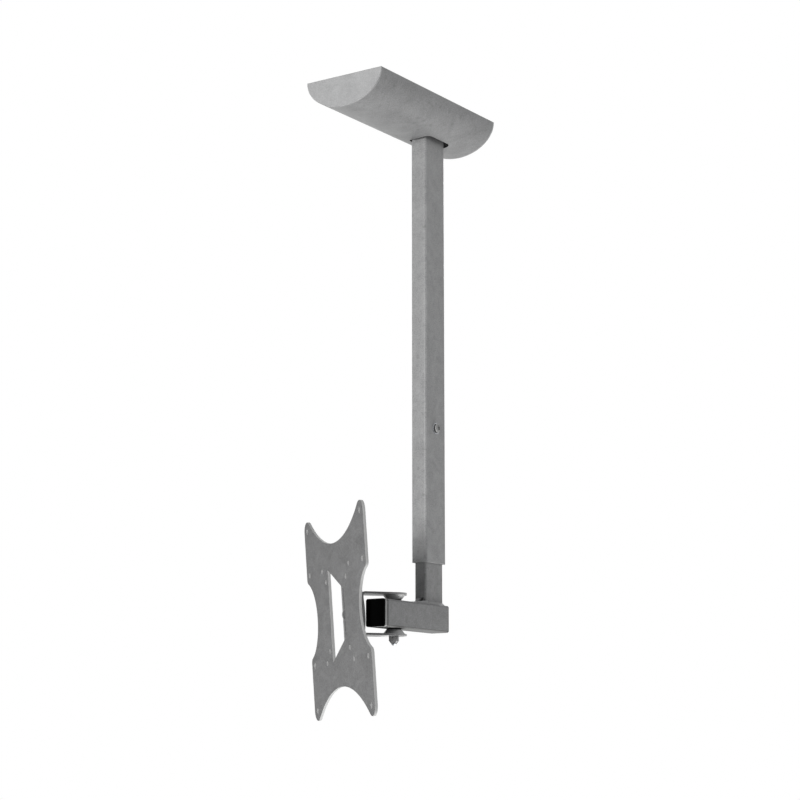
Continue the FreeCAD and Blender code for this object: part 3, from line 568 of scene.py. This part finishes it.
@dataclass(frozen=True)
class SheetCoat(HammertoneCoat):
    """Powder coat on a flat sheet whose cut edges and hole walls are paler than its faces, by a painted
    highlight.

    Attributes:
        facing: direction that the sheet faces, in object coordinates.
        cut: hex colour of the painted highlight on the cut edges.
        cut_turn: cosines to the facing at which the painted highlight on a wall starts and is strongest.
        cut_share: strength of the painted highlight on the walls.
        drawn: how many times longer the pattern is across the sheet than up it, as the sheet was rolled.
    """

    facing: Point = (0.0, 1.0, 0.0)
    cut: str = "#c6c6c5"
    cut_turn: Span = (0.8, 0.4)
    cut_share: float = 0.9
    drawn: float = 2.2

    def shade(self, tree: Tree, shader: Node, place: Socket) -> None:
        """Connect the shader with a pattern that is drawn out across the sheet.

        Args:
            tree: the material's node tree.
            shader: its Principled shader.
            place: socket with the object coordinates in metres.
        """
        across = Vector(self.facing).cross(Vector((0.0, 0.0, 1.0))).normalized()
        share = add(tree, "ShaderNodeVectorMath", {"operation": "PROJECT"}, (
            place, across)).outputs["Vector"]
        rolled = add(tree, "ShaderNodeVectorMath", {"operation": "MULTIPLY_ADD"}, (
            share, (1 / self.drawn - 1,) * 3, place)).outputs["Vector"]
        super().shade(tree, shader, rolled)

    def flecked(self, tree: Tree, place: Socket, body: Socket) -> Socket:
        """Flecked faces with a painted highlight on the walls round them.

        Args:
            tree: the material's node tree.
            place: socket with the drawn-out coordinates.
            body: socket with the colour under the flecks.

        Returns:
            Socket with the colour of faces and walls.
        """
        face = super().flecked(tree, place, body)
        towards = add(tree, "ShaderNodeVectorMath", {"operation": "DOT_PRODUCT"}, (
            tree.nodes[COORDINATES].outputs["Normal"], self.facing)).outputs["Value"]
        flat = add(tree, "ShaderNodeMath", {"operation": "ABSOLUTE"}, (towards,)).outputs["Value"]
        start, full = self.cut_turn
        side = add(tree, "ShaderNodeMapRange", inputs={
            "Value": flat, "From Min": start, "From Max": full,
            "To Max": self.cut_share}).outputs["Result"]
        return add(tree, "ShaderNodeMix", {"data_type": "RGBA"}, {
            FACTOR: side, COLOUR_A: face, COLOUR_B: linear(self.cut)}).outputs[COLOUR_OUT]


@dataclass(frozen=True)
class ZincPlate(Finish):
    """Zinc-plated steel: cloudy bare metal with fine drawing lines.

    Attributes:
        pale: hex colour of the bright clouds.
        deep: hex colour of the dull clouds.
        cloud: width of a cloud in metres.
        line: width of a drawing line in metres.
        stretch: how the lines' pattern is scaled along their length.
    """

    rough: Span = (0.24, 0.42)
    relief: float = 0.02 * MM
    edge_round: float = 0.3 * MM
    metallic: float = 1.0
    pale: str = "#c3c5c8"
    deep: str = "#8f9296"
    cloud: float = 5 * MM
    # Real drawing lines are under 0.1 mm wide. They are drawn wider, to show from near by.
    line: float = 0.25 * MM
    stretch: float = 0.12

    def pattern(self, tree: Tree, place: Socket) -> Socket:
        """Clouds of the plating bath.

        Args:
            tree: the material's node tree.
            place: socket with the object coordinates.

        Returns:
            Socket with the clouds, 0 to 1.
        """
        return add(tree, "ShaderNodeTexNoise", inputs={
            "Vector": place, "Scale": per_metre(self.cloud), "Detail": 5.0}).outputs["Fac"]

    def colour(self, tree: Tree, place: Socket, pattern: Socket, soft: Socket) -> Socket:
        """Bright and dull metal that drift into each other.

        Args:
            tree: the material's node tree.
            place: socket with the object coordinates.
            pattern: socket with the clouds.
            soft: socket with the normal that is rounded at the edges.

        Returns:
            Socket with the colour.
        """
        return add(tree, "ShaderNodeMix", {"data_type": "RGBA"}, {
            FACTOR: pattern, COLOUR_A: linear(self.deep),
            COLOUR_B: linear(self.pale)}).outputs[COLOUR_OUT]

    def height(self, tree: Tree, place: Socket, pattern: Socket) -> Socket:
        """Relief of the metal: fine upright drawing lines.

        Args:
            tree: the material's node tree.
            place: socket with the object coordinates.
            pattern: socket with the clouds.

        Returns:
            Socket with the height, 0 to 1.
        """
        stretched = add(tree, "ShaderNodeMapping", inputs={
            "Vector": place, "Scale": (1.0, 1.0, self.stretch)}).outputs["Vector"]
        return add(tree, "ShaderNodeTexNoise", inputs={
            "Vector": stretched, "Scale": per_metre(self.line), "Detail": 2.0}).outputs["Fac"]


@dataclass(frozen=True)
class ThreadedZinc(ZincPlate):
    """Zinc-plated bolt whose shank shows its thread below a given height.

    Attributes:
        pitch: spacing of the thread's turns in metres.
        thread_top: height at which the thread ends, in metres.
    """

    pitch: float = 1.0 * MM
    thread_top: float = -590 * MM

    def height(self, tree: Tree, place: Socket, pattern: Socket) -> Socket:
        """Relief of the bolt: drawing lines above, turns of the thread below.

        Args:
            tree: the material's node tree.
            place: socket with the object coordinates.
            pattern: socket with the clouds.

        Returns:
            Socket with the height, 0 to 1.
        """
        plain = super().height(tree, place, pattern)
        turns = add(tree, "ShaderNodeTexWave", {"bands_direction": Axis.UP.value}, {
            "Vector": place, "Scale": WAVE_REPEAT * per_metre(self.pitch),
            "Distortion": 0.0}).outputs["Fac"]
        up = add(tree, "ShaderNodeSeparateXYZ", inputs={"Vector": place}).outputs[Axis.UP.value]
        below = add(tree, "ShaderNodeMath", {"operation": "LESS_THAN"}, (
            up, self.thread_top)).outputs["Value"]
        return add(tree, "ShaderNodeMix", {"data_type": "FLOAT"}, {
            FACTOR: below, VALUE_A: plain, VALUE_B: turns}).outputs[VALUE_OUT]


@dataclass(frozen=True)
class MouldedPlastic(Finish):
    """Moulded polyethylene: near-black with a fine eroded grain and hardly any gloss.

    Attributes:
        dark: hex colour in the hollows of the grain.
        light: hex colour on its tops.
        grain: width of the grain in metres.
    """

    rough: Span = (0.30, 0.45)
    relief: float = 0.03 * MM
    specular: float = 0.03
    dark: str = "#010101"
    light: str = "#050505"
    # The real mould's grain is about 0.2 mm wide. It is drawn wider, to show from near by.
    grain: float = 0.8 * MM

    def pattern(self, tree: Tree, place: Socket) -> Socket:
        """Grain of the eroded mould.

        Args:
            tree: the material's node tree.
            place: socket with the object coordinates.

        Returns:
            Socket with the grain, 0 to 1.
        """
        return add(tree, "ShaderNodeTexNoise", inputs={
            "Vector": place, "Scale": per_metre(self.grain), "Detail": 4.0}).outputs["Fac"]

    def colour(self, tree: Tree, place: Socket, pattern: Socket, soft: Socket) -> Socket:
        """Black that is a little lighter on the tops of the grain.

        Args:
            tree: the material's node tree.
            place: socket with the object coordinates.
            pattern: socket with the grain.
            soft: socket with the normal that is rounded at the edges.

        Returns:
            Socket with the colour.
        """
        return add(tree, "ShaderNodeMix", {"data_type": "RGBA"}, {
            FACTOR: pattern, COLOUR_A: linear(self.dark),
            COLOUR_B: linear(self.light)}).outputs[COLOUR_OUT]

    def height(self, tree: Tree, place: Socket, pattern: Socket) -> Socket:
        """Relief of the plastic, which is its grain.

        Args:
            tree: the material's node tree.
            place: socket with the object coordinates.
            pattern: socket with the grain.

        Returns:
            The socket with the grain.
        """
        return pattern


# Hammertone powder sprayed on steel tube and baked: the melt draws together in shallow dimples,
# so the eye sees a soft, dull grey with faint clouds, dark flecks and pale edges, partly thin coat and partly
# painted highlight.
COAT = HammertoneCoat("hammertone_powder_coated_steel", dark="#787878", light="#9b9b9b", edge="#c4c4c3")

# The same powder on the bent cover: broad, slow clouds, as it is the largest sheet, and a nearly
# black inside, which is painted shade.
SKIN_COAT = SkinCoat("hammertone_powder_coated_cover", dark="#707070", light="#909090", cloud=22 * MM)

# The same powder on the telescoping tube: a shade darker, which is painted shade, with a dark
# spot of painted shade at its foot, in the gap where the weld bead breaks off.
DROP_COAT = SpottedCoat("hammertone_powder_coated_drop_tube", dark="#6c6c6c", light="#8d8d8d")

# The same powder on the arm, rougher and without pale edges. Painted shade darkens a strip along its
# underside and the groove behind its end, and a painted highlight makes its end paler.
ARM_COAT = BandedCoat(
    "hammertone_powder_coated_arm", dark="#6b6b6b", light="#8b8b8b", edge_share=0.0, rough=(0.66, 0.78),
    bands=(Band(Axis.UP, start=-599.5 * MM, end=-596.9 * MM, tone="#4e4e4d"),
           Band(Axis.ALONG, start=-98.9 * MM, end=-97.3 * MM, tone="#1c1c1c"),
           Band(Axis.ALONG, start=-103 * MM, end=-98.9 * MM, tone="#8c8c8b")))

# The same powder on the pressed fork: darker, which is painted shade; its bends show as sharp pale lines
# of thin coat and painted highlight, and two round pale places on the cones are painted highlight.
FORK_COAT = SpottedCoat(
    "hammertone_powder_coated_fork", dark="#535353", light="#797979", edge="#bcbcbb",
    edge_round=0.5 * MM, edge_share=0.7, relief=0.05 * MM, rough=(0.40, 0.50),
    spots=((0.0, SWIVEL_Y, -566 * MM), (0.0, SWIVEL_Y, -602 * MM)), reach=19 * MM, tone="#b8b8b7")

# The same powder on a turned screw: dull, with painted shadow in the gap round its head and a painted
# highlight on its shoulder.
SCREW_COAT = BandedCoat(
    "dull_coated_screw_steel", dark="#747473", light="#8e8e8d", edge_share=0.2, rough=(0.60, 0.72),
    bands=(Band(Axis.ACROSS, start=9 * MM, end=12.4 * MM, tone="#101010"),
           Band(Axis.ACROSS, start=12.4 * MM, end=12.8 * MM, tone="#b8b8b7")))

# The same powder over arc-welded beads: a lumpy seam that catches small lights, with the spot of painted shade
# at the break in the bead at the tube's foot.
WELD_COAT = WeldedCoat("powder_coated_weld_bead", dark="#727272", light="#9a9a9a")
BRACKET_WELD_COAT = WeldedCoat("powder_coated_bracket_weld", dark="#5f5f5f", light="#818181")

# The same powder on rolled sheet, cut to shape: dark even faces, darkened as painted shade, whose clouds
# run across the sheet, and pale cut edges of painted highlight that outline the plate and its holes.
PLATE_COAT = SheetCoat(
    "hammertone_powder_coated_plate", dark="#474747", light="#6f6f6f", edge="#b9b9b8",
    fleck_colour="#4c4c4b", edge_round=0.6 * MM, edge_share=0.5, rough=(0.58, 0.70), cut="#a4a4a3",
    facing=broad_side("mounting_plate"))

# The same powder on the folded bracket behind the plate, darker as painted shade, between the plate and the
# arm in tone.
BRACKET_COAT = HammertoneCoat("hammertone_powder_coated_bracket", dark="#636363", light="#838383",
                              fleck_colour="#545453")

# The same powder on the cover's flat ends: thick, pale and nearly without flecks.
END_COAT = HammertoneCoat("pale_powder_coated_end_wall", dark="#8e8e8e", light="#a9a9a9",
                          fleck_colour="#8a8a89")

# Zinc plated on turned steel in a barrel: bright cloudy metal on the small fasteners.
ZINC = ZincPlate("zinc_plated_steel")

# Zinc plated on rolled sheet, dulled in store: flat pale metal with broad clouds and hardly a mirror.
SHEET_ZINC = ZincPlate("dull_zinc_plated_sheet_steel", pale="#9c9ea1", deep="#7b7e82", cloud=12 * MM,
                       relief=0.005 * MM, rough=(0.52, 0.64))

# Spring steel, hardened and blued: dark bluish metal with a soft shine on its bends.
SPRING = ZincPlate("blued_spring_steel", pale="#7c8086", deep="#565a60", cloud=9 * MM, rough=(0.32, 0.48))

# Zinc on the pressed nut, gone dark with handling: small deep patches and bright glints on the flats.
NUT_ZINC = ZincPlate("dulled_zinc_plated_steel", pale="#8a8a8a", deep="#0c0c0c", cloud=2.4 * MM,
                     rough=(0.20, 0.34))

# Zinc on the rolled bolt: a smooth shank, then turns of thread that glint in fine lines.
BOLT_ZINC = ThreadedZinc("zinc_plated_threaded_bolt", pale="#a5a7a9", deep="#55585b", cloud=4 * MM,
                         rough=(0.22, 0.36), relief=0.25 * MM)

# Polyethylene moulded black: plugs and pads that look like dark openings, with hardly any gloss.
PLASTIC = MouldedPlastic("moulded_black_polyethylene")


@dataclass
class Assembly:
    """Pieces of the frame that belong together, with the finish of each.

    Attributes:
        body: name of the moving body that carries the pieces.
        finishes: node name to its finish.
    """

    body: str
    finishes: dict[str, Finish] = field(default_factory=dict)

    def build(self) -> list[str]:
        """Dress every piece of the assembly.

        Returns:
            Names of the dressed pieces.
        """
        for name, finish in self.finishes.items():
            self.dress(name, finish)
        return list(self.finishes)

    def dress(self, name: str, finish: Finish) -> None:
        """Give the frame node of that name its material."""
        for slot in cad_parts[name].material_slots:
            slot.material = finish.build()


@dataclass
class Column(Assembly):
    """Ceiling plate, outer tube and the clips that hold the cover."""

    body: str = "column"
    finishes: dict[str, Finish] = field(default_factory=lambda: {
        "ceiling_plate": SHEET_ZINC, "column_tube": COAT, "column_weld": WELD_COAT, "lock_bush": ZINC,
        "cover_clip_front": SPRING, "cover_clip_rear": SPRING, "cover_clip_rivets": ZINC})


@dataclass
class Cover(Assembly):
    """Curved cover with its two end walls."""

    body: str = "cover"
    finishes: dict[str, Finish] = field(default_factory=lambda: {
        "cover_shell": SKIN_COAT, "cover_end_front": END_COAT, "cover_end_rear": END_COAT})


@dataclass
class LockScrew(Assembly):
    """Screw that holds the height."""

    body: str = "lock_screw"
    finishes: dict[str, Finish] = field(default_factory=lambda: {"lock_screw": SCREW_COAT})


@dataclass
class Drop(Assembly):
    """Telescoping tube with the arm."""

    body: str = "drop"
    finishes: dict[str, Finish] = field(default_factory=lambda: {
        "inner_tube": DROP_COAT, "inner_guide": PLASTIC, "foot_weld": WELD_COAT, "arm_tube": ARM_COAT,
        "arm_plug_front": PLASTIC, "arm_plug_rear": PLASTIC, "swivel_sleeve": ZINC})


@dataclass
class Fork(Assembly):
    """Swivel fork with its bolt, nut, washers and pads."""

    body: str = "fork"
    finishes: dict[str, Finish] = field(default_factory=lambda: {
        "swivel_fork": FORK_COAT, "swivel_bolt": BOLT_ZINC, "swivel_washer": ZINC,
        "swivel_spring_washer": ZINC, "swivel_nut": NUT_ZINC, "friction_pad_top": PLASTIC,
        "friction_pad_bottom": PLASTIC, "tilt_sleeve": ZINC, "tilt_washers": PLASTIC})


@dataclass
class Head(Assembly):
    """Screen plate with its tilt bracket."""

    body: str = "head"
    finishes: dict[str, Finish] = field(default_factory=lambda: {
        "mounting_plate": PLATE_COAT, "tilt_bracket": BRACKET_COAT, "bracket_welds": BRACKET_WELD_COAT,
        "tilt_bolt": COAT, "tilt_nut": ZINC})


@dataclass(frozen=True)
class SoftBox:
    """One rectangular studio light.

    Attributes:
        name: name of the light.
        place: where it stands, in metres.
        aim: point that it shines at, in metres.
        size: width and height in metres.
        power: power in watts.
    """

    name: str
    place: Point
    aim: Point
    size: Span
    power: float

    def build(self) -> bpy.types.Object:
        """Make the light.

        Returns:
            The light's object.
        """
        data = bpy.data.lights.new(self.name, "AREA")
        data.shape = "RECTANGLE"
        data.size, data.size_y = self.size
        data.energy = self.power
        light = bpy.data.objects.new(self.name, data)
        light.location = self.place
        towards = Vector(self.aim) - Vector(self.place)
        light.rotation_euler = towards.to_track_quat("-Z", "Y").to_euler()
        bpy.context.scene.collection.objects.link(light)
        return light


@dataclass(frozen=True)
class Viewpoint:
    """Camera at the photograph's viewing angle.

    Attributes:
        place: camera position in metres.
        azimuth: degrees round the object; 0 looks along +Y.
        pitch: degrees that the camera looks up.
        focal_pixels: focal length in pixels of the square picture.
    """

    place: Point
    azimuth: float
    pitch: float
    focal_pixels: float

    def build(self) -> bpy.types.Object:
        """Make the camera and choose it for the scene.

        Returns:
            The camera's object.
        """
        data = bpy.data.cameras.new("photo_camera")
        data.sensor_fit = "HORIZONTAL"
        data.lens = self.focal_pixels * data.sensor_width / IMAGE_SIDE
        data.clip_start, data.clip_end = CLIP_NEAR, CLIP_FAR
        camera = bpy.data.objects.new("photo_camera", data)
        camera.location = self.place
        camera.rotation_euler = (math.radians(90 + self.pitch), 0.0, math.radians(self.azimuth))
        bpy.context.scene.collection.objects.link(camera)
        bpy.context.scene.camera = camera
        return camera


# Broad light from the front, which gives the column's front face and the cover's end their pale tone.
KEY_BOX = SoftBox("key_softbox", place=(0.1, -2.6, -0.35), aim=(0.0, 0.0, -0.3), size=(0.9, 0.9), power=56.5)

# Weak light from the right and above, so the right faces stay darker than the front ones.
SIDE_BOX = SoftBox("side_softbox", place=(1.5, 0.55, 0.55), aim=(0.0, 0.0, -0.15), size=(0.8, 0.8), power=6.8)

# Light from below, which brightens the belly of the cover.
LOW_BOX = SoftBox("low_softbox", place=(0.15, 0.35, -1.2), aim=(0.0, 0.0, 0.0), size=(0.6, 0.6), power=8.0)

# Small light near the foot, which lifts the fork and the underside of the plate's horns.
FOOT_BOX = SoftBox("foot_softbox", place=(-0.3, -0.5, -1.02), aim=(-0.03, -0.12, -0.62), size=(0.2, 0.2),
                   power=1.0)

# Light from behind, so the back of the mount is as readable as its front.
REAR_BOX = SoftBox("rear_softbox", place=(-0.9, 2.2, 0.9), aim=(0.0, 0.0, -0.35), size=(0.8, 0.8), power=30.0)


@dataclass
class Studio:
    """Floor, surroundings, lights and camera.

    Attributes:
        floor_z: height of the floor in metres, a room's height below the ceiling.
        floor_side: side length of the floor in metres.
        ambient: strength of the light that comes from all round.
        boxes: the studio lights.
        viewpoint: the camera.
    """

    floor_z: float = -2.4
    floor_side: float = 30.0
    ambient: float = 0.30
    boxes: tuple[SoftBox, ...] = (KEY_BOX, SIDE_BOX, LOW_BOX, FOOT_BOX, REAR_BOX)
    viewpoint: Viewpoint = Viewpoint(
        place=(1.2300, -1.8556, -0.7521), azimuth=34.365, pitch=10.557, focal_pixels=2000.0)

    def build(self) -> list[str]:
        """Make everything round the object.

        Returns:
            Names of what was made.
        """
        names = [self.floor().name]
        self.surroundings()
        names += [box.build().name for box in self.boxes]
        names.append(self.viewpoint.build().name)
        bpy.context.scene.view_settings.view_transform = "Standard"
        return names

    def looked_at(self, tree: Tree) -> Socket:
        """Mask of the rays that look at the background, straight, in a mirroring surface or through glass.

        Args:
            tree: node tree of the floor or the world.

        Returns:
            Socket that is 1 for those rays and 0 for the light that falls on the object.
        """
        path = add(tree, "ShaderNodeLightPath").outputs
        mask = path["Is Camera Ray"]
        for kind in ("Is Glossy Ray", "Is Transmission Ray"):
            mask = add(tree, "ShaderNodeMath", {"operation": "MAXIMUM"}, (
                mask, path[kind])).outputs["Value"]
        return mask

    def floor(self) -> bpy.types.Object:
        """Make the pale floor, which shows plain white to the camera.

        Returns:
            The floor's object.
        """
        mesh = bpy.data.meshes.new("floor")
        shape = bmesh.new()
        bmesh.ops.create_grid(shape, x_segments=1, y_segments=1, size=self.floor_side / 2,
                              matrix=Matrix.Translation((0, 0, self.floor_z)))
        shape.to_mesh(mesh)
        shape.free()
        floor = bpy.data.objects.new("floor", mesh)
        bpy.context.scene.collection.objects.link(floor)
        material = bpy.data.materials.new("pale_studio_floor")
        material.use_nodes = True
        tree = material.node_tree
        tree.nodes.clear()
        matt = add(tree, "ShaderNodeBsdfDiffuse", inputs={
            "Color": linear(Backdrop.FLOOR.value)}).outputs["BSDF"]
        plain = add(tree, "ShaderNodeEmission", inputs={
            "Color": linear(Backdrop.SKY_SEEN.value)}).outputs["Emission"]
        mixed = add(tree, "ShaderNodeMixShader", inputs=(
            self.looked_at(tree), matt, plain)).outputs["Shader"]
        add(tree, "ShaderNodeOutputMaterial", inputs={"Surface": mixed})
        mesh.materials.append(material)
        return floor

    def surroundings(self) -> None:
        """Light the scene evenly from all round and show plain white to the camera."""
        world = bpy.data.worlds.new("plain_surroundings")
        world.use_nodes = True
        tree = world.node_tree
        tree.nodes.clear()
        seen = add(tree, "ShaderNodeBackground", inputs={
            "Color": linear(Backdrop.SKY_SEEN.value), "Strength": 1.0}).outputs["Background"]
        felt = add(tree, "ShaderNodeBackground", inputs={
            "Color": linear(Backdrop.SKY_LIGHT.value), "Strength": self.ambient}).outputs["Background"]
        mixed = add(tree, "ShaderNodeMixShader", inputs=(
            self.looked_at(tree), felt, seen)).outputs["Shader"]
        add(tree, "ShaderNodeOutputWorld", inputs={"Surface": mixed})
        bpy.context.scene.world = world


def main() -> None:
    """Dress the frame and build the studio."""
    logging.basicConfig(level=logging.INFO, format="%(name)s: %(message)s")
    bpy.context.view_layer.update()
    for assembly in (Column(), Cover(), LockScrew(), Drop(), Fork(), Head()):
        for piece in assembly.build():
            LOG.info("%s: %s", assembly.body, piece)
    for piece in Studio().build():
        LOG.info("studio: %s", piece)


if __name__ == "__main__":
    main()
